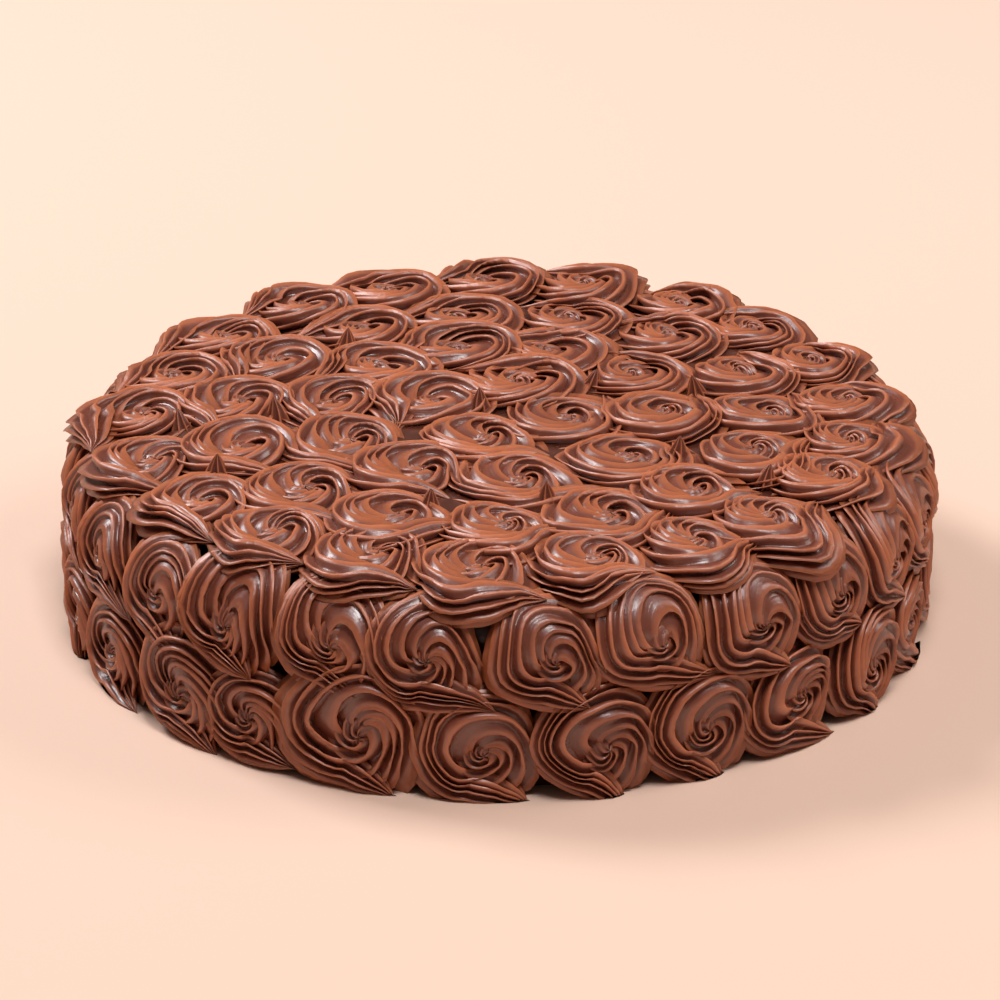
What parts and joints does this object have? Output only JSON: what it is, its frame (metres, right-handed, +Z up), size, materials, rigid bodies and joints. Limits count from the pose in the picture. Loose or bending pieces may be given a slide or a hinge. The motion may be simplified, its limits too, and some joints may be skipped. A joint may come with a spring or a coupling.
{
  "type": "layer cake",
  "caption": "Round uncut layer cake wholly covered in piped chocolate buttercream rosettes, in rings over its top and in rows round its wall, with small star drops in the gaps.",
  "frame": {"origin": "Middle of the flat base, on the plane that the cake rests on.", "axes": "+Z up; +X to the right and +Y away, as the picture looks at the cake from the front. The cake is round, so X and Y only fix where each rosette lies."},
  "size_m": [0.2858, 0.2858, 0.0724],
  "materials": {
    "chocolate_buttercream": "soft satin chocolate buttercream, smooth in the grooves and paler along the thin crests"
  },
  "bodies": {
    "root": {"cake": "chocolate_buttercream"}
  },
  "joints": []
}
